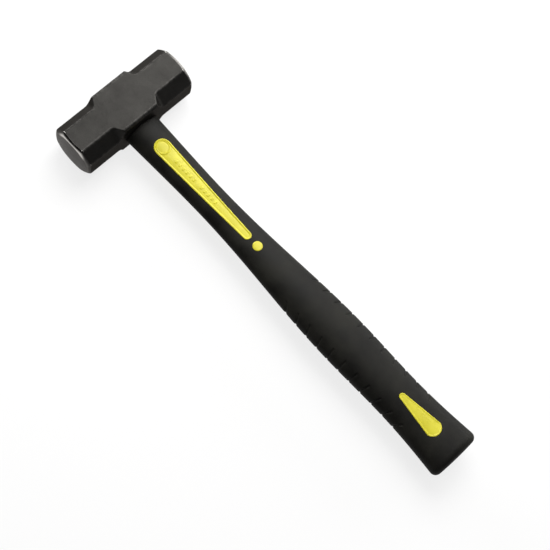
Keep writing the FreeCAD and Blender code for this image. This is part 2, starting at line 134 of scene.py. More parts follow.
def bake_modifiers(piece):
    graph = bpy.context.evaluated_depsgraph_get()
    mesh = bpy.data.meshes.new_from_object(piece.evaluated_get(graph))
    piece.modifiers.clear()
    piece.data = mesh


def smoothstep(low, high, values):
    share = np.clip((values - low) / (high - low), 0.0, 1.0)
    return share * share * (3.0 - 2.0 * share)


def unevenness(point, size):
    return noise.noise(Vector(point) / size)


# ---------------------------------------------------------------- handle form

def natural_spline(knots, values):
    """A function that runs smoothly through the given values, with no bend at its two ends."""
    knots, values = np.asarray(knots), np.asarray(values)
    gaps = np.diff(knots)
    slopes = np.diff(values) / gaps
    size = len(knots)
    matrix = np.eye(size)
    right = np.zeros(size)
    for i in range(1, size - 1):
        matrix[i, i - 1:i + 2] = gaps[i - 1], 2 * (gaps[i - 1] + gaps[i]), gaps[i]
        right[i] = 6 * (slopes[i] - slopes[i - 1])
    bends = np.linalg.solve(matrix, right)

    def at(x):
        i = np.clip(np.searchsorted(knots, x) - 1, 0, size - 2)
        near, far = x - knots[i], knots[i + 1] - x
        cubic = (bends[i] * far ** 3 + bends[i + 1] * near ** 3) / (6 * gaps[i])
        line_low = (values[i] / gaps[i] - bends[i] * gaps[i] / 6) * far
        line_high = (values[i + 1] / gaps[i] - bends[i + 1] * gaps[i] / 6) * near
        return cubic + line_low + line_high
    return at


PLACES, WIDTHS, DEPTHS = (np.array(column) * MM for column in zip(*STATIONS))
half_width = natural_spline(PLACES, WIDTHS / 2)
half_depth = natural_spline(PLACES, DEPTHS / 2)


def top_of_handle(x, y):
    """Height of the handle's broad face above its axis."""
    share = np.clip(y / half_width(x), -0.999, 0.999)
    return half_depth(x) * np.sqrt(1 - share ** 2)


def oval_ring(x, half_y, half_z, angles):
    ring = np.empty((len(angles), 3))
    ring[:, 0] = x
    ring[:, 1] = half_y * np.cos(angles)
    ring[:, 2] = AXIS_Z + half_z * np.sin(angles)
    return ring


# ---------------------------------------------------------------- inlay outlines

TIP, SIDE = math.pi, 0.0


class Outline:
    """Half an inlay's outline, above its middle line: arcs (x, y, radius, from, to) joined by lines."""

    def __init__(self, arcs, arc_steps, line_steps):
        self.arcs, self.arc_steps, self.line_steps = arcs, arc_steps, line_steps

    def inset(self, depth):
        points = []
        for index, (x, y, radius, first, last) in enumerate(self.arcs):
            size = max(radius - depth, 0.02 * MM)
            steps = self.arc_steps[index]
            angles = np.linspace(first, last, steps)
            arc = np.stack([x + size * np.cos(angles), y + size * np.sin(angles)], axis=1)
            if points:
                start = points[-1][-1]
                share = np.linspace(0, 1, self.line_steps[index - 1] + 2)[1:-1, None]
                points.append(start + (arc[0] - start) * share)
            points.append(arc)
        return np.concatenate(points)


def teardrop_angle(left, left_radius, right, right_radius):
    return math.acos((left_radius - right_radius) / (right - left))


LONG_START, LONG_END = 47.1 * MM, 148.5 * MM
LONG_LARGE, LONG_SMALL = 7.5 * MM, 3.7 * MM
LONG_EYE = 5.1 * MM
DOT_X, DOT_RADIUS = 160.9 * MM, 4.2 * MM
FAN_START, FAN_END = 328.4 * MM, 363.7 * MM
FAN_NARROW, FAN_CORNER = 2.8 * MM, 1.2 * MM
FAN_SPREAD, FAN_BOW = 6.1 * MM, 7.6 * MM


def long_outline():
    turn = teardrop_angle(LONG_START, LONG_LARGE, LONG_END, LONG_SMALL)
    arcs = [(LONG_START, 0, LONG_LARGE, TIP, turn), (LONG_END, 0, LONG_SMALL, turn, SIDE)]
    return Outline(arcs, (26, 14), (230,))


def dot_outline():
    return Outline([(DOT_X, 0, DOT_RADIUS, TIP, SIDE)], (33,), ())


def fan_outline():
    reach = math.hypot(FAN_END - FAN_START, FAN_SPREAD)
    lean = math.atan2(FAN_SPREAD, FAN_END - FAN_START)
    side = math.pi / 2 + lean - math.asin((FAN_NARROW - FAN_CORNER) / reach)
    turn = math.asin(FAN_SPREAD / (FAN_BOW - FAN_CORNER))
    middle = FAN_END - (FAN_BOW - FAN_CORNER) * math.cos(turn)
    arcs = [
        (FAN_START, 0, FAN_NARROW, TIP, side),
        (FAN_END, FAN_SPREAD, FAN_CORNER, side, turn),
        (middle, 0, FAN_BOW, turn, SIDE),
    ]
    return Outline(arcs, (14, 10, 18), (70, 1))


# Heights above the overmould, of the floor inside each inlay's rim and of the dot's flat top.
LONG_PANEL = -0.2 * MM
BUTT_PANEL = 0.15 * MM
DOT_TOP = 0.42 * MM

# Across an inlay's wall and rim: distance in from its outline and height above the overmould.
WALL = [(0.0, -1.2 * MM), (0.0, 0.12 * MM)]
LONG_PROFILE = WALL + [
    (0.1 * MM, 0.3 * MM), (0.3 * MM, 0.4 * MM), (0.75 * MM, 0.4 * MM),
    (1.05 * MM, 0.31 * MM), (1.45 * MM, -0.08 * MM), (1.8 * MM, LONG_PANEL),
]
BUTT_PROFILE = WALL + [
    (0.12 * MM, 0.3 * MM), (0.35 * MM, 0.4 * MM), (0.7 * MM, 0.38 * MM),
    (1.1 * MM, 0.25 * MM), (1.6 * MM, BUTT_PANEL),
]
DOT_PROFILE = WALL + [(0.12 * MM, 0.3 * MM), (0.35 * MM, 0.4 * MM), (1.0 * MM, DOT_TOP)]

RING_HEIGHT, RING_GAP = 0.35 * MM, 0.75 * MM
BAR_HEIGHT, BAR_PITCH = 0.28 * MM, 4.2 * MM
BAR_ROWS = ((64.0 * MM, 6), (94.0 * MM, 5))  # first bar's place and how many there are


def butt_panel(x, y):
    return np.full_like(x, BUTT_PANEL)


def dot_top(x, y):
    return np.full_like(x, DOT_TOP)


def long_panel(x, y):
    """The long inlay's floor: a ring round the eye recess and two plain rows of raised bars."""
    away = np.hypot(x - LONG_START, y)
    ring = 1 - smoothstep(0.55 * MM, 0.85 * MM, np.abs(away - LONG_EYE - RING_GAP))
    height = LONG_PANEL + RING_HEIGHT * ring
    for first, count in BAR_ROWS:
        for index in range(count):
            middle = first + BAR_PITCH * index
            bar = 1 - smoothstep(0.6 * MM, 0.95 * MM, np.abs(x - middle))
            bar = bar * (1 - smoothstep(1.1 * MM, 1.5 * MM, np.abs(y)))
            height = np.maximum(height, LONG_PANEL + BAR_HEIGHT * bar)
    return height


def make_island(name, outline, profile, panel, columns, side, material):
    """One raised yellow shape: wall, rim and panel, laid over the handle's broad face.

    side is 1 for the upper face and -1 for the lower.
    """
    rings = [(outline.inset(depth), height) for depth, height in profile]
    inner = rings[-1][0]
    rows = []
    for points, height in rings:
        rows.append((points[:, 0], -points[:, 1], np.full(len(points), height)))
    for share in np.linspace(-1, 1, columns + 2)[1:-1]:
        x, y = inner[:, 0], inner[:, 1] * share
        rows.append((x, y, panel(x, y)))
    for points, height in reversed(rings):
        rows.append((points[:, 0], points[:, 1], np.full(len(points), height)))
    grid = []
    for x, y, height in rows:
        z = AXIS_Z + side * (top_of_handle(x, y) + height)
        grid.append(np.stack([x, y, z], axis=1))
    grid = np.array(grid)
    across, along = grid.shape[:2]
    faces = []
    for row in range(across):
        after = (row + 1) % across
        for column in range(along - 1):
            faces.append((row * along + column, row * along + column + 1,
                          after * along + column + 1, after * along + column))
    piece = make_object(name, grid.reshape(-1, 3), faces, [material])
    clean(piece)
    return piece


# ---------------------------------------------------------------- materials

def new_material(name):
    material = bpy.data.materials.new(name)
    material.use_nodes = True
    tree = material.node_tree
    return material, tree, tree.nodes["Principled BSDF"]


def link(tree, source, target):
    tree.links.new(source, target)


def object_place(tree):
    return tree.nodes.new("ShaderNodeTexCoord").outputs["Object"]


def stretch(tree, place, scale):
    mapping = tree.nodes.new("ShaderNodeMapping")
    mapping.inputs["Scale"].default_value = scale
    link(tree, place, mapping.inputs["Vector"])
    return mapping.outputs["Vector"]


def add_noise(tree, place, scale, detail=3.0, roughness=0.5, distortion=0.0):
    node = tree.nodes.new("ShaderNodeTexNoise")
    node.inputs["Scale"].default_value = scale
    node.inputs["Detail"].default_value = detail
    node.inputs["Roughness"].default_value = roughness
    node.inputs["Distortion"].default_value = distortion
    link(tree, place, node.inputs["Vector"])
    return node.outputs["Fac"]


def ramp(tree, value, stops):
    node = tree.nodes.new("ShaderNodeValToRGB")
    elements = node.color_ramp.elements
    while len(elements) < len(stops):
        elements.new(0.5)
    for element, (place, colour) in zip(elements, stops):
        element.position = place
        element.color = (*colour, 1.0)
    link(tree, value, node.inputs["Fac"])
    return node.outputs["Color"]


def to_range(tree, value, low, high, from_low=0.3, from_high=0.7):
    node = tree.nodes.new("ShaderNodeMapRange")
    node.inputs["From Min"].default_value = from_low
    node.inputs["From Max"].default_value = from_high
    node.inputs["To Min"].default_value = low
    node.inputs["To Max"].default_value = high
    link(tree, value, node.inputs["Value"])
    return node.outputs["Result"]


def blend_colours(tree, share, first, second):
    node = tree.nodes.new("ShaderNodeMix")
    node.data_type = "RGBA"
    link(tree, share, node.inputs["Factor"])
    link(tree, first, node.inputs["A"])
    if isinstance(second, tuple):
        node.inputs["B"].default_value = (*second, 1.0)
    else:
        link(tree, second, node.inputs["B"])
    return node.outputs["Result"]


def calculate(tree, operation, first, second):
    node = tree.nodes.new("ShaderNodeMath")
    node.operation = operation
    for socket, value in zip(node.inputs, (first, second)):
        if isinstance(value, (int, float)):
            socket.default_value = value
        else:
            link(tree, value, socket)
    return node.outputs["Value"]


def add_bumps(tree, shader, layers):
    """Chains bump layers, each a height, a strength and a distance in metres."""
    normal = None
    for height, strength, distance in layers:
        node = tree.nodes.new("ShaderNodeBump")
        node.inputs["Strength"].default_value = strength
        node.inputs["Distance"].default_value = distance
        link(tree, height, node.inputs["Height"])
        if normal is not None:
            link(tree, normal, node.inputs["Normal"])
        normal = node.outputs["Normal"]
    link(tree, normal, shader.inputs["Normal"])


def forged_steel():
    """Dark, shot-blasted forging skin, a little lighter where its edges are rubbed."""
    material, tree, shader = new_material("forged_steel")
    place = object_place(tree)
    mottle = add_noise(tree, place, 70, 6, 0.6, 0.4)
    grain = add_noise(tree, place, 900, 4, 0.6)
    pits = add_noise(tree, place, 330, 2, 0.5)
    colour = ramp(tree, mottle, [(0.3, (0.0156, 0.0151, 0.0142)), (0.7, (0.0220, 0.0213, 0.0200))])
    wear_and_highlight = tree.nodes.new("ShaderNodeAttribute")
    wear_and_highlight.attribute_name = "wear_and_highlight"
    patches = to_range(tree, pits, 0.0, 0.3, 0.42, 0.62)
    patchy = calculate(tree, "MULTIPLY", wear_and_highlight.outputs["Fac"], patches)
    colour = blend_colours(tree, patchy, colour, (0.065, 0.063, 0.060))
    link(tree, colour, shader.inputs["Base Color"])
    link(tree, to_range(tree, grain, 0.4, 0.52), shader.inputs["Roughness"])
    shader.inputs["Metallic"].default_value = 0.9
    shader.inputs["Specular IOR Level"].default_value = 0.3
    shader.inputs["Specular Tint"].default_value = (0.42, 0.41, 0.40, 1.0)
    add_bumps(tree, shader, [(mottle, 0.25, 0.0004), (pits, 0.25, 0.00012), (grain, 0.35, 0.00006)])
    return material


def ground_steel():
    """Bright steel left by the grinder on the striking faces and their bevels."""
    material, tree, shader = new_material("ground_steel")
    place = object_place(tree)
    rings = tree.nodes.new("ShaderNodeTexWave")
    rings.wave_type = "RINGS"
    rings.rings_direction = "Y"
    rings.inputs["Scale"].default_value = 420
    rings.inputs["Distortion"].default_value = 2.5
    rings.inputs["Detail"].default_value = 3
    rings.inputs["Detail Scale"].default_value = 2
    centred = tree.nodes.new("ShaderNodeMapping")
    centred.inputs["Location"].default_value = (0, 0, -AXIS_Z)
    link(tree, place, centred.inputs["Vector"])
    link(tree, centred.outputs["Vector"], rings.inputs["Vector"])
    cloud = add_noise(tree, place, 160, 4, 0.6)
    colour = ramp(tree, cloud, [(0.3, (0.022, 0.0212, 0.0204)), (0.7, (0.048, 0.0463, 0.0442))])
    wear_and_highlight = tree.nodes.new("ShaderNodeAttribute")
    # Lighter in a ring round each bevel, read from the head's attribute: partly rubbed steel, partly a
    # painted highlight.
    wear_and_highlight.attribute_name = "wear_and_highlight"
    colour = blend_colours(tree, wear_and_highlight.outputs["Fac"], colour, (0.6, 0.58, 0.55))
    link(tree, colour, shader.inputs["Base Color"])
    link(tree, to_range(tree, cloud, 0.26, 0.36), shader.inputs["Roughness"])
    shader.inputs["Metallic"].default_value = 1.0
    shader.inputs["Specular Tint"].default_value = (0.62, 0.61, 0.60, 1.0)
    add_bumps(tree, shader, [(rings.outputs["Fac"], 0.12, 0.00004), (cloud, 0.1, 0.0002)])
    return material


def black_rubber():
    """Moulded black rubber with a fine spark-eroded grain."""
    material, tree, shader = new_material("black_rubber")
    place = object_place(tree)
    grain = add_noise(tree, place, 1900, 2, 0.5)
    cloud = add_noise(tree, place, 45, 4, 0.55)
    colour = ramp(tree, cloud, [(0.35, (0.0036, 0.0034, 0.0028)), (0.65, (0.0098, 0.0094, 0.0074))])
    link(tree, colour, shader.inputs["Base Color"])
    link(tree, to_range(tree, cloud, 0.5, 0.6), shader.inputs["Roughness"])
    shader.inputs["Specular IOR Level"].default_value = 0.1
    add_bumps(tree, shader, [(cloud, 0.15, 0.0003), (grain, 0.3, 0.00005)])
    return material


def yellow_plastic():
    """Yellow moulded plastic, faintly mottled, with a fine satin grain."""
    material, tree, shader = new_material("yellow_plastic")
    place = object_place(tree)
    cloud = add_noise(tree, place, 110, 4, 0.55)
    grain = add_noise(tree, place, 1500, 2, 0.5)
    colour = ramp(tree, cloud, [(0.3, (0.39, 0.353, 0.0105)), (0.7, (0.463, 0.42, 0.017))])
    link(tree, colour, shader.inputs["Base Color"])
    link(tree, to_range(tree, grain, 0.34, 0.44), shader.inputs["Roughness"])
    shader.inputs["Specular IOR Level"].default_value = 0.25
    add_bumps(tree, shader, [(cloud, 0.1, 0.0002), (grain, 0.2, 0.00004)])
    return material


def potting_resin():
    """Cast resin: dark amber, glossy, with a few small bubbles."""
    material, tree, shader = new_material("potting_resin")
    place = object_place(tree)
    cloud = add_noise(tree, place, 260, 4, 0.6)
    bubbles = tree.nodes.new("ShaderNodeTexVoronoi")
    bubbles.inputs["Scale"].default_value = 700
    link(tree, place, bubbles.inputs["Vector"])
    colour = ramp(tree, cloud, [(0.3, (0.055, 0.036, 0.016)), (0.7, (0.10, 0.068, 0.03))])
    link(tree, colour, shader.inputs["Base Color"])
    link(tree, to_range(tree, cloud, 0.14, 0.3), shader.inputs["Roughness"])
    pocks = to_range(tree, bubbles.outputs["Distance"], 0.0, 1.0, 0.05, 0.3)
    add_bumps(tree, shader, [(cloud, 0.2, 0.0004), (pocks, 0.25, 0.0001)])
    return material


def fibreglass():
    """The cut end of a pultruded rod: pale resin full of the ends of glass bundles."""
    material, tree, shader = new_material("fibreglass")
    place = object_place(tree)
    along = stretch(tree, place, (0.05, 1.0, 1.0))
    bundles = tree.nodes.new("ShaderNodeTexVoronoi")
    bundles.inputs["Scale"].default_value = 1100
    link(tree, along, bundles.inputs["Vector"])
    streaks = add_noise(tree, along, 380, 4, 0.6)
    colour = ramp(tree, streaks, [(0.3, (0.40, 0.35, 0.19)), (0.7, (0.58, 0.53, 0.33))])
    ends = to_range(tree, bundles.outputs["Distance"], 0.0, 0.6, 0.25, 0.6)
    colour = blend_colours(tree, ends, colour, (0.20, 0.17, 0.09))
    link(tree, colour, shader.inputs["Base Color"])
    link(tree, to_range(tree, streaks, 0.55, 0.75), shader.inputs["Roughness"])
    add_bumps(tree, shader, [(bundles.outputs["Distance"], 0.4, 0.00008), (streaks, 0.3, 0.0001)])
    return material


def seal_rubber():
    """Soft black seal, with the open grain of sponge rubber."""
    material, tree, shader = new_material("seal_rubber")
    place = object_place(tree)
    cells = add_noise(tree, place, 1200, 3, 0.6)
    colour = ramp(tree, cells, [(0.3, (0.014, 0.014, 0.014)), (0.7, (0.04, 0.04, 0.038))])
    link(tree, colour, shader.inputs["Base Color"])
    link(tree, to_range(tree, cells, 0.7, 0.9), shader.inputs["Roughness"])
    add_bumps(tree, shader, [(cells, 0.5, 0.0002)])
    return material


# ---------------------------------------------------------------- head

CHAMFER_X = 9.6 * MM
CHAMFER_Z = 11.3 * MM
RUNOUT_START = 25.5 * MM
RUNOUT_SLOPE = math.radians(50)
RUNOUT_CONCAVE = 5.5 * MM
RUNOUT_CONVEX = 3.4 * MM
RUNOUT_OVER = 0.4 * MM
FORGING_RADIUS = 2.5 * MM
FACE_RADIUS = 17.8 * MM
FACE_CROWN = 0.3 * MM
BEVEL_CREASE = math.radians(22)
BEVEL_LEAST_DEPTH, BEVEL_DEPTH_SHARE = 1.8 * MM, 0.6
END_RUN = 10 * MM  # how far behind the face the plain rings of an end are measured from
RUBBED_HIGHLIGHT_TURN = 62  # degrees round the bevel to its brightest line: rubbed steel there, and a painted highlight
EYE_MOUTH = (14.5 * MM, 8.2 * MM)
EYE_WAIST = (13.3 * MM, 7.2 * MM)
ARC_STEPS = 6
FLAT_SHARES = (0.025, 0.09, 0.18, 0.28, 0.39, 0.5, 0.61, 0.72, 0.82, 0.91, 0.975)
LEAST_CHAMFER = 0.16
UNDERSIDE_CHAMFER = 0.55  # least share of the arms' chamfer on the cheeks' lower corners


def chamfer_share(y):
    """Size of the corner chamfer at a place along the head: 1 on the arms, almost 0 on the cheeks."""
    full = CHAMFER_X * CHAMFER_Z / math.hypot(CHAMFER_X, CHAMFER_Z)
    rise_wanted = full + RUNOUT_OVER
    bend = 1 - math.cos(RUNOUT_SLOPE)
    ramp_rise = rise_wanted - (RUNOUT_CONCAVE + RUNOUT_CONVEX) * bend
    foot_run = RUNOUT_CONCAVE * math.sin(RUNOUT_SLOPE)
    ramp_run = ramp_rise / math.tan(RUNOUT_SLOPE)
    top_run = RUNOUT_CONVEX * math.sin(RUNOUT_SLOPE)
    gone = RUNOUT_START - abs(y)
    if gone <= 0:
        rise = 0.0
    elif gone < foot_run:
        rise = RUNOUT_CONCAVE - math.sqrt(RUNOUT_CONCAVE ** 2 - gone ** 2)
    elif gone < foot_run + ramp_run:
        rise = RUNOUT_CONCAVE * bend + (gone - foot_run) * math.tan(RUNOUT_SLOPE)
    elif gone < foot_run + ramp_run + top_run:
        left = foot_run + ramp_run + top_run - gone
        rise = rise_wanted - RUNOUT_CONVEX + math.sqrt(RUNOUT_CONVEX ** 2 - left ** 2)
    else:
        rise = rise_wanted
    share = 1 - rise / full
    softness = 0.035
    return LEAST_CHAMFER + (share - LEAST_CHAMFER + math.hypot(share - LEAST_CHAMFER, softness)) / 2


def head_section(share):
    """Round-cornered octagon across the head: its points (x, z) and which of them lie on an edge."""
    side, top = HEAD_HALF_X, HEAD_HALF_Z
    under = max(share, UNDERSIDE_CHAMFER)
    upper_x, upper_z = side - CHAMFER_X * share, top - CHAMFER_Z * share
    lower_x, lower_z = side - CHAMFER_X * under, CHAMFER_Z * under - top
    corners = np.array([
        (side, lower_z), (side, upper_z), (upper_x, top), (-upper_x, top),
        (-side, upper_z), (-side, lower_z), (-lower_x, -top), (lower_x, -top),
    ])
    arcs, edge_marks = [], []
    for i, corner in enumerate(corners):
        before, after = corners[i - 1] - corner, corners[(i + 1) % 8] - corner
        before, after = before / np.linalg.norm(before), after / np.linalg.norm(after)
        half_turn = math.acos(np.clip(before @ after, -1, 1)) / 2
        middle = before + after
        middle = corner + middle / np.linalg.norm(middle) * FORGING_RADIUS / math.sin(half_turn)
        reach = FORGING_RADIUS / math.tan(half_turn)
        first, last = corner + before * reach - middle, corner + after * reach - middle
        start, end = math.atan2(first[1], first[0]), math.atan2(last[1], last[0])
        turn = (end - start + math.pi) % (2 * math.pi) - math.pi
        angles = start + turn * np.linspace(0, 1, ARC_STEPS + 1)
        arcs.append(middle + FORGING_RADIUS * np.stack([np.cos(angles), np.sin(angles)], axis=1))
    points = []
    for i, arc in enumerate(arcs):
        points.extend(arc)
        edge_marks.extend([1.0] * len(arc))
        start, end = arc[-1], arcs[(i + 1) % 8][0]
        for along in FLAT_SHARES:
            points.append(start + (end - start) * along)
            edge_marks.append(0.0)
    return np.array(points), np.array(edge_marks)


def end_rings(section, side):
    """Rings from an arm's last plain section over the bevel and the crowned face to its middle.

    With each ring comes its wear and painted highlight: the bevel is made bright above and below,
    partly as rubbed steel and partly as a painted highlight, and more so on the far end.
    """
    radius = np.hypot(section[:, 0], section[:, 1])
    way = section / radius[:, None]
    face = HEAD_HALF_Y - FACE_CROWN
    reach = radius - FACE_RADIUS
    depth = BEVEL_LEAST_DEPTH + BEVEL_DEPTH_SHARE * reach
    # Painted highlight, partly rubbed steel: the bright ring is kept strongest where the bevel faces up
    # or down, and is wider on the far end.
    rubbed_and_highlit = 0.12 + 0.88 * smoothstep(0.6, 0.85, np.abs(way[:, 1]))
    spread = 24 if side > 0 else 14
    meet = face - depth * (1 - math.sin(BEVEL_CREASE))
    start = face - END_RUN
    plan = []
    for along in (0.3, 0.6, 0.85, 0.97):
        plan.append((radius, start + (meet - start) * along, 0.0))
    for turn in np.linspace(BEVEL_CREASE, math.pi / 2, 14):
        size = FACE_RADIUS + reach * math.cos(turn) / math.cos(BEVEL_CREASE)
        wear_and_highlight = math.exp(-((math.degrees(turn) - RUBBED_HIGHLIGHT_TURN) / spread) ** 2)
        plan.append((size, face - depth * (1 - math.sin(turn)), rubbed_and_highlit * wear_and_highlight))
    for share in (0.96, 0.9, 0.8, 0.6, 0.4, 0.2, 0.05):
        plan.append((FACE_RADIUS * share, face + FACE_CROWN * (1 - share ** 2), 0.0))
    rings, worn_and_highlight = [], []
    for size, y, wear_and_highlight in plan:
        ring = np.empty((len(radius), 3))
        ring[:, 0] = way[:, 0] * size
        ring[:, 1] = side * y
        ring[:, 2] = AXIS_Z + way[:, 1] * size
        rings.append(ring)
        worn_and_highlight.append(np.full(len(radius), wear_and_highlight))
    return rings, worn_and_highlight


PLAIN_END_RINGS = 4  # the rings of end_rings that still belong to the forging


def roughen(rings, centre_line):
    """Gives the forging a slight unevenness, square to its skin."""
    for ring in rings:
        for point in ring:
            out = Vector((point[0], 0, point[2] - centre_line)).normalized()
            swell = 0.07 * unevenness(point, 9 * MM) + 0.03 * unevenness(point, 3.2 * MM)
            point[:] = Vector(point) + out * swell * MM


def eye_cutter():
    """The punched eye, waisted at mid height, with a small break at each mouth."""
    lip = 0.7 * MM
    plan = []
    for side in (-1, 1):
        outside = [(HEAD_HALF_X + 2 * MM, lip + 2 * MM), (HEAD_HALF_X - lip, 0.0)]
        plan.append([(side * x, EYE_MOUTH[0] + extra, EYE_MOUTH[1] + extra) for x, extra in outside])
    stations = plan[0] + [(0.0, *EYE_WAIST)] + plan[1][::-1]
    angles = np.linspace(0, 2 * math.pi, 96, endpoint=False)
    rings = [oval_ring(x, long_half, short_half, angles) for x, long_half, short_half in stations]
    verts, faces = loft(rings, True, True)
    cutter = make_object("eye_cutter", verts, faces, [])
    clean(cutter)
    return cutter


def make_head(forging, ground):
    """The forging as one skin from face to face, with sections close together over the run-outs."""
    arm_end = HEAD_HALF_Y - FACE_CROWN - 9 * MM
    places = np.concatenate([
        np.linspace(-arm_end, -26 * MM, 16),
        np.linspace(-25.6 * MM, -14.2 * MM, 34),
        np.linspace(-13 * MM, 13 * MM, 14),
        np.linspace(14.2 * MM, 25.6 * MM, 34),
        np.linspace(26 * MM, arm_end, 16),
    ])
    body = []
    for y in places:
        section = head_section(chamfer_share(y))[0]
        ring = np.empty((len(section), 3))
        ring[:, 0], ring[:, 1], ring[:, 2] = section[:, 0], y, AXIS_Z + section[:, 1]
        body.append(ring)
    arm_section, marks = head_section(1.0)
    near_end, near_worn_and_highlight = end_rings(arm_section, -1)
    far_end, far_worn_and_highlight = end_rings(arm_section, 1)
    roughen(near_end[:PLAIN_END_RINGS] + body + far_end[:PLAIN_END_RINGS], AXIS_Z)
    rings = near_end[::-1] + body + far_end
    verts, faces = loft(rings, True, True)
    around = len(arm_section)
    ground_rings = len(near_end) - PLAIN_END_RINGS
    rows = len(rings) - 1
    slots = np.zeros((rows, around), int)
    slots[:ground_rings] = 1
    slots[rows - ground_rings:] = 1
    face_materials = np.concatenate([slots.ravel(), np.ones(2 * around, int)])
    head = make_object("hammer_head", verts, faces, [forging, ground], face_materials)
    # This attribute holds real edge wear for the forging and, round the bevels, a bright ring that is
    # partly a painted highlight.
    wear_and_highlight = head.data.attributes.new("wear_and_highlight", "FLOAT", "POINT")
    for number in range(PLAIN_END_RINGS):
        near_worn_and_highlight[number], far_worn_and_highlight[number] = marks, marks
    marks = np.concatenate([*near_worn_and_highlight[::-1], np.tile(marks, len(body)), *far_worn_and_highlight, [0.0, 0.0]])
    wear_and_highlight.data.foreach_set("value", marks.astype(np.float32))
    clean(head)
    cutter = eye_cutter()
    hole = head.modifiers.new("eye", "BOOLEAN")
    hole.operation, hole.solver, hole.object = "DIFFERENCE", "EXACT", cutter
    bake_modifiers(head)
    bpy.data.objects.remove(cutter)
    sharpen(head, 35)
    return head


def make_resin(material):
    """The potting: a closed collar between the eye's wall and the rod, dished at its top."""
    rod_y, rod_z = ROD_HIGH.y, (ROD_HIGH.z - ROD_LOW.z) / 2
    angles = np.linspace(0, 2 * math.pi, 96, endpoint=False)
    top, foot = RESIN_LOW.x, RESIN_HIGH.x

    def wall(x):
        share = abs(x) / HEAD_HALF_X
        return [waist + (mouth - waist) * share for mouth, waist in zip(EYE_MOUTH, EYE_WAIST)]

    rings = [oval_ring(foot, rod_y, rod_z, angles), oval_ring(foot, *wall(foot), angles),
             oval_ring(0.0, *wall(0.0), angles), oval_ring(top, *wall(top), angles)]
    outer_y, outer_z = wall(top)
    for share in (0.06, 0.16, 0.32, 0.5, 0.68, 0.84, 0.94, 1.0):
        dish = 0.55 * MM * (1 - (2 * share - 1) ** 4)
        half_y = outer_y + (rod_y - outer_y) * share
        half_z = outer_z + (rod_z - outer_z) * share
        rings.append(oval_ring(top + dish, half_y, half_z, angles))
    rings.append(rings[0])
    verts, faces = loft(rings)
    piece = make_object("potting_collar", verts, faces, [material])
    clean(piece)
    sharpen(piece, 50)
    return piece


# ---------------------------------------------------------------- handle

NOTCH_COUNT = 11
NOTCH_FIRST, NOTCH_PITCH = 215.5 * MM, 12.4 * MM
NOTCH_FAN = math.radians(45)
NOTCH_REACH, NOTCH_WIDTH, NOTCH_DEPTH = 7.8 * MM, 1.6 * MM, 0.6 * MM
BUTT_RADIUS = 6.5 * MM
BUTT_DEPTH_RADIUS = 5.0 * MM
BUTT_DOME = 0.5 * MM
BUTT_WALL = 3.5 * MM
PARTING_RIDGE = 0.14 * MM
POCKET_DEPTH = 1.15 * MM


def teardrop_distance(x, y, left, left_radius, right, right_radius):
    """Signed distance from the teardrop's edge, negative inside."""
    length = right - left
    sine = (left_radius - right_radius) / length
    cosine = math.sqrt(1 - sine ** 2)
    px, py = np.abs(y), x - left
    side = -sine * px + cosine * py
    straight = px * cosine + py * sine - left_radius
    near_left = np.hypot(px, py) - left_radius
    near_right = np.hypot(px, py - length) - right_radius
    return np.where(side < 0, near_left, np.where(side > cosine * length, near_right, straight))


def notch_cut(x, y):
    """Depth of the grip notches at a place on the sleeve, seen from its broad side."""
    depth = np.zeros_like(x)
    middle = (NOTCH_COUNT - 1) / 2
    for number in range(NOTCH_COUNT):
        place = NOTCH_FIRST + NOTCH_PITCH * number
        lean = NOTCH_FAN * (number - middle) / middle
        along_x, along_y = math.sin(lean), -math.cos(lean)
        dx, dy = x - place, np.abs(y) - half_width(place)
        inwards = dx * along_x + dy * along_y
        sideways = -dx * along_y + dy * along_x
        past_end = np.maximum(inwards - (NOTCH_REACH - NOTCH_WIDTH / 2), 0.0)
        away = np.hypot(sideways, past_end)
        groove = 1 - smoothstep(NOTCH_WIDTH * 0.22, NOTCH_WIDTH * 0.62, away)
        depth = np.maximum(depth, NOTCH_DEPTH * groove)
    return depth


def pocket_cut(x, y):
    """Depth of the seats under the yellow inlays; their edges are hidden by the inlays' rims."""
    long_edge = teardrop_distance(x, y, LONG_START, LONG_LARGE, LONG_END, LONG_SMALL)
    fan_edge = teardrop_distance(x, y, FAN_START, FAN_NARROW, FAN_END - 1 * MM, FAN_BOW - 0.6 * MM)
    edge = np.minimum(long_edge, fan_edge)
    return POCKET_DEPTH * (1 - smoothstep(-1.2 * MM, -0.6 * MM, edge))


def sleeve_places():
    notched_start = NOTCH_FIRST - 4 * MM
    notched_end = NOTCH_FIRST + NOTCH_PITCH * (NOTCH_COUNT - 1) + 12 * MM
    return np.concatenate([
        np.arange(NECK_X + 0.6 * MM, notched_start, 1.3 * MM),
        np.arange(notched_start, notched_end, 0.45 * MM),
        np.arange(notched_end, BUTT_X - BUTT_RADIUS, 1.3 * MM),
    ])


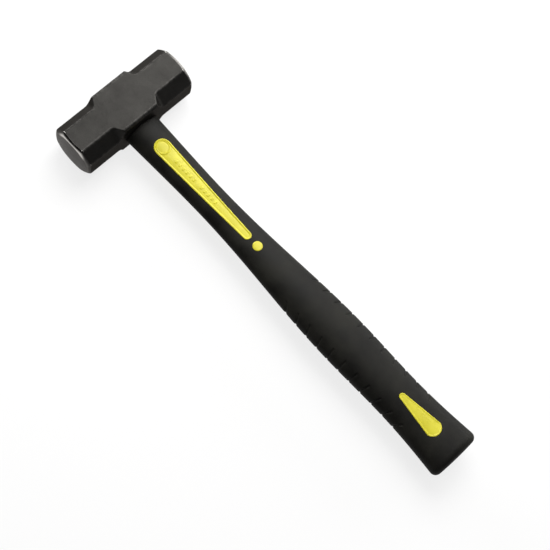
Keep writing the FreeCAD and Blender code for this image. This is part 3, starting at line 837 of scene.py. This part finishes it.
def make_sleeve(material):
    """The black overmould as one closed skin: butt, outside, neck and bore."""
    around = 176
    angles = np.linspace(0, 2 * math.pi, around, endpoint=False)
    ridge = PARTING_RIDGE * np.maximum(0, 1 - np.abs(np.sin(angles)) / 0.05)
    rings = []
    for share in (0.04, 0.2, 0.4, 0.6, 0.8, 0.94):
        width = half_width(BUTT_X) - BUTT_RADIUS
        depth = half_depth(BUTT_X) - BUTT_DEPTH_RADIUS
        dome = BUTT_DOME * share ** 2
        rings.append(oval_ring(BUTT_X - dome, width * share, depth * share, angles))
    for turn in np.linspace(0, math.pi / 2, 9):
        x = BUTT_X - BUTT_DOME - (BUTT_RADIUS - BUTT_DOME) * (1 - math.cos(turn))
        gone = 1 - math.sin(turn)
        rings.append(oval_ring(x, half_width(x) - BUTT_RADIUS * gone,
                               half_depth(x) - BUTT_DEPTH_RADIUS * gone, angles))
    for x in sleeve_places()[::-1]:
        width, depth = half_width(x), half_depth(x)
        ring = oval_ring(x, width, depth, angles)
        cut = notch_cut(ring[:, 0], ring[:, 1]) + pocket_cut(ring[:, 0], ring[:, 1])
        lift = ridge - cut
        out_y, out_z = np.cos(angles) * depth, np.sin(angles) * width
        size = np.hypot(out_y, out_z)
        ring[:, 1] += lift * out_y / size
        ring[:, 2] += lift * out_z / size
        rings.append(ring)
    for back, pull in ((0.15 * MM, 0.1 * MM), (0.0, 0.5 * MM)):
        width, depth = half_width(NECK_X) - pull, half_depth(NECK_X) - pull
        rings.append(oval_ring(NECK_X + back, width, depth, angles))
    bore_end = BUTT_X - BUTT_WALL
    for x in np.linspace(NECK_X, bore_end, 60):
        rings.append(oval_ring(x, half_width(x) - SLEEVE_WALL, half_depth(x) - SLEEVE_WALL, angles))
    rings.append(oval_ring(bore_end, 0.5 * half_width(bore_end), 0.5 * half_depth(bore_end), angles))
    verts, faces = loft(rings, True, True)
    piece = make_object("grip_overmould", verts, faces, [material])
    clean(piece)
    sharpen(piece, 60)
    return piece


def make_jacket_core(material):
    """The hidden part of the jacket: an oval tube round the rod, closed at the butt."""
    angles = np.linspace(0, 2 * math.pi, 64, endpoint=False)
    rod_y, rod_z = ROD_HIGH.y, (ROD_HIGH.z - ROD_LOW.z) / 2
    end = JACKET_HIGH.x
    rings = [oval_ring(end, 0.5 * half_width(end), 0.5 * half_depth(end), angles)]
    for x in np.linspace(end, NECK_X, 60):
        rings.append(oval_ring(x, half_width(x) - SLEEVE_WALL, half_depth(x) - SLEEVE_WALL, angles))
    for x in (NECK_X, ROD_HIGH.x):
        rings.append(oval_ring(x, rod_y, rod_z, angles))
    rings.append(oval_ring(ROD_HIGH.x, rod_y / 2, rod_z / 2, angles))
    verts, faces = loft(rings, True, True)
    piece = make_object("jacket_core", verts, faces, [material])
    clean(piece)
    sharpen(piece, 50)
    return piece


def make_jacket(material):
    """The yellow jacket: its hidden core and the shapes that stand through the overmould."""
    pieces = [make_jacket_core(material)]
    for label, side in (("upper", 1), ("lower", -1)):
        shapes = [
            ("long_inlay_", long_outline(), LONG_PROFILE, long_panel, 25),
            ("dot_inlay_", dot_outline(), DOT_PROFILE, dot_top, 9),
            ("butt_inlay_", fan_outline(), BUTT_PROFILE, butt_panel, 15),
        ]
        for name, outline, profile, panel, columns in shapes:
            piece = make_island(name + label, outline, profile, panel, columns, side, material)
            sharpen(piece, 50)
            pieces.append(piece)
    return pieces


# ---------------------------------------------------------------- stage

CAMERA_PLACE = Vector((0.3593, -0.3190, 1.1203))
CAMERA_AIM = Vector((0.1868, -0.0039, 0.0205))
CAMERA_ROLL = math.radians(18.827)
CAMERA_LENS = 93.6


def make_camera():
    data = bpy.data.cameras.new("camera")
    data.lens = CAMERA_LENS
    data.sensor_width = 36.0
    data.clip_start, data.clip_end = 0.01, 20.0
    camera = bpy.data.objects.new("camera", data)
    camera.rotation_mode = "QUATERNION"
    camera.location = CAMERA_PLACE
    facing = (CAMERA_AIM - CAMERA_PLACE).to_track_quat("-Z", "Y")
    camera.rotation_quaternion = facing @ Quaternion((0, 0, 1), CAMERA_ROLL)
    bpy.context.scene.collection.objects.link(camera)
    bpy.context.scene.camera = camera


def make_light(name, place, aim, size, power, colour):
    data = bpy.data.lights.new(name, "AREA")
    data.shape = "RECTANGLE"
    data.size, data.size_y = size
    data.energy = power
    data.color = colour
    light = bpy.data.objects.new(name, data)
    light.location = place
    light.rotation_mode = "QUATERNION"
    light.rotation_quaternion = (Vector(aim) - Vector(place)).to_track_quat("-Z", "Y")
    bpy.context.scene.collection.objects.link(light)


def make_lights():
    middle = (0.15, 0.0, 0.02)
    make_light("key", (-0.23, 0.58, 0.92), middle, (0.9, 0.9), 23, (1.0, 0.995, 0.985))
    make_light("fill", (0.8, -0.1, 2.1), middle, (2.4, 2.4), 16, (1.0, 1.0, 1.0))
    make_light("rim_top", (-1.3, 0.25, 0.35), (0.0, 0.0, 0.03), (1.2, 0.4), 22, (1.0, 1.0, 1.0))
    make_light("rim_side", (0.3, 1.3, 0.35), (0.15, 0.0, 0.03), (1.4, 0.4), 14, (1.0, 1.0, 1.0))
    world = bpy.data.worlds.new("studio")
    world.use_nodes = True
    backdrop = world.node_tree.nodes["Background"]
    backdrop.inputs["Color"].default_value = (1.0, 1.0, 1.0, 1.0)
    backdrop.inputs["Strength"].default_value = 0.08
    bpy.context.scene.world = world


def make_floor():
    half = 3.0
    corners = [(-half, -half, 0), (half, -half, 0), (half, half, 0), (-half, half, 0)]
    material, _, shader = new_material("floor")
    shader.inputs["Base Color"].default_value = (0.15, 0.15, 0.15, 1.0)
    shader.inputs["Emission Color"].default_value = (1.0, 1.0, 1.0, 1.0)
    shader.inputs["Emission Strength"].default_value = 0.77
    shader.inputs["Roughness"].default_value = 0.8
    shader.inputs["Specular IOR Level"].default_value = 0.1
    floor = make_object("floor", corners, [(0, 1, 2, 3)], [material])


# ---------------------------------------------------------------- assembly

def declare(piece, node):
    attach(piece, "root")
    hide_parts(node)


def paint_node(node, material):
    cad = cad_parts[node]
    cad.data.materials.clear()
    cad.data.materials.append(material)


def main():
    bpy.context.scene.view_settings.view_transform = "Standard"
    make_camera()
    make_lights()
    make_floor()
    declare(make_head(forged_steel(), ground_steel()), "head")
    declare(make_resin(potting_resin()), "eye_resin")
    declare(make_sleeve(black_rubber()), "grip_sleeve")
    for piece in make_jacket(yellow_plastic()):
        declare(piece, "handle_jacket")
    paint_node("core_rod", fibreglass())
    paint_node("eye_dam", seal_rubber())


main()
